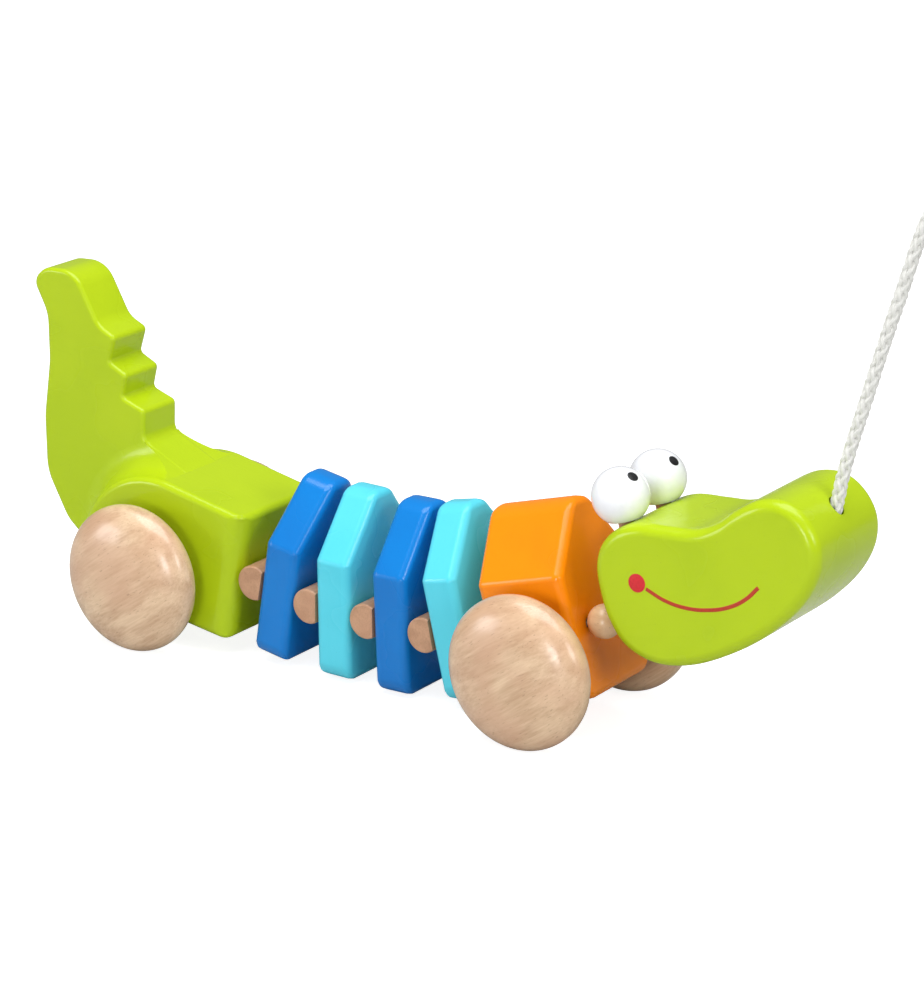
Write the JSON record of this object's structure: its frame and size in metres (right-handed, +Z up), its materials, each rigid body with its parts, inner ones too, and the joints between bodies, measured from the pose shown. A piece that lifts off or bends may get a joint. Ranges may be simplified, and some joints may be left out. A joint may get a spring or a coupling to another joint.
{
  "type": "pull along toy",
  "caption": "Wooden pull-along crocodile: a lime tail block and head, blue plates and an orange block strung on two elastic cords and rocking on dowels, on four wooden wheels with a white pull cord.",
  "frame": {"origin": "on the ground, under the middle of the toy without its pull cord", "axes": "+X forwards to the nose, +Y to the toy's left, +Z up"},
  "size_m": [0.3568, 0.082, 0.2184],
  "materials": {
    "lime_paint": "gloss paint",
    "dark_blue_paint": "gloss paint",
    "light_blue_paint": "gloss paint",
    "orange_paint": "gloss paint",
    "varnished_wood": "satin varnish",
    "dowel_wood": "bare",
    "eye_white": "gloss paint",
    "elastic_cord": "fabric covered",
    "pull_rope": "twisted"
  },
  "bodies": {
    "tail_block": {"tail_block": "lime_paint", "cord_left_in_tail_block": "elastic_cord", "cord_right_in_tail_block": "elastic_cord"},
    "rear_wheelset": {"rear_axle": "dowel_wood", "rear_wheel_left": "varnished_wood", "rear_wheel_right": "varnished_wood"},
    "plate_1": {"plate_1": "dark_blue_paint", "dowel_1": "dowel_wood", "cord_left_in_plate_1": "elastic_cord", "cord_right_in_plate_1": "elastic_cord"},
    "plate_2": {"plate_2": "light_blue_paint", "dowel_2": "dowel_wood", "cord_left_in_plate_2": "elastic_cord", "cord_right_in_plate_2": "elastic_cord"},
    "plate_3": {"plate_3": "dark_blue_paint", "dowel_3": "dowel_wood", "cord_left_in_plate_3": "elastic_cord", "cord_right_in_plate_3": "elastic_cord"},
    "plate_4": {"plate_4": "light_blue_paint", "dowel_4": "dowel_wood", "cord_left_in_plate_4": "elastic_cord", "cord_right_in_plate_4": "elastic_cord"},
    "front_block": {"front_block": "orange_paint", "dowel_5": "dowel_wood", "cord_left_in_front_block": "elastic_cord", "cord_right_in_front_block": "elastic_cord"},
    "front_wheelset": {"front_axle": "dowel_wood", "front_wheel_left": "varnished_wood", "front_wheel_right": "varnished_wood"},
    "neck_beads": {"neck_bead_left": "varnished_wood", "neck_bead_right": "varnished_wood"},
    "head": {"head": "lime_paint", "eye_left": "eye_white", "eye_right": "eye_white", "eye_peg_left": "dowel_wood", "eye_peg_right": "dowel_wood", "cord_left_in_head": "elastic_cord", "cord_right_in_head": "elastic_cord", "pull_cord": "pull_rope", "pull_cord_knot": "pull_rope", "pull_ball": "varnished_wood"}
  },
  "joints": [
    {"name": "rear_wheels_turn", "type": "hinge", "parent": "tail_block", "child": "rear_wheelset", "pos_m": [-0.0967, 0, 0.025], "axis": [0, 1, 0], "continuous": true},
    {"name": "rock_1", "type": "hinge", "parent": "tail_block", "child": "plate_1", "pos_m": [-0.05584, 0, 0.02794], "axis": [0, 1, 0], "range_deg": [-12, 12]},
    {"name": "rock_2", "type": "hinge", "parent": "plate_1", "child": "plate_2", "pos_m": [-0.0336, 0, 0.0245], "axis": [0, 1, 0], "range_deg": [-5, 18]},
    {"name": "rock_3", "type": "hinge", "parent": "plate_2", "child": "plate_3", "pos_m": [-0.01111, 0, 0.02407], "axis": [0, 1, 0], "range_deg": [-11, 13]},
    {"name": "rock_4", "type": "hinge", "parent": "plate_3", "child": "plate_4", "pos_m": [0.01139, 0, 0.02415], "axis": [0, 1, 0], "range_deg": [-3, 20]},
    {"name": "rock_5", "type": "hinge", "parent": "plate_4", "child": "front_block", "pos_m": [0.03359, 0, 0.02782], "axis": [0, 1, 0], "range_deg": [-9.5, 16]},
    {"name": "front_wheels_turn", "type": "hinge", "parent": "front_block", "child": "front_wheelset", "pos_m": [0.05554, 0, 0.025], "axis": [0, 1, 0], "continuous": true},
    {"name": "head_nods", "type": "hinge", "parent": "front_block", "child": "head", "pos_m": [0.07318, 0, 0.03925], "axis": [0, 1, 0], "range_deg": [-18, 18]},
    {"name": "neck_beads_roll", "type": "hinge", "parent": "front_block", "child": "neck_beads", "pos_m": [0.07318, 0, 0.03925], "axis": [0, 1, 0], "range_deg": [-9, 9]}
  ],
  "couplings": [
    {"joint": "neck_beads_roll", "follows": "head_nods", "ratio": 0.5}
  ]
}
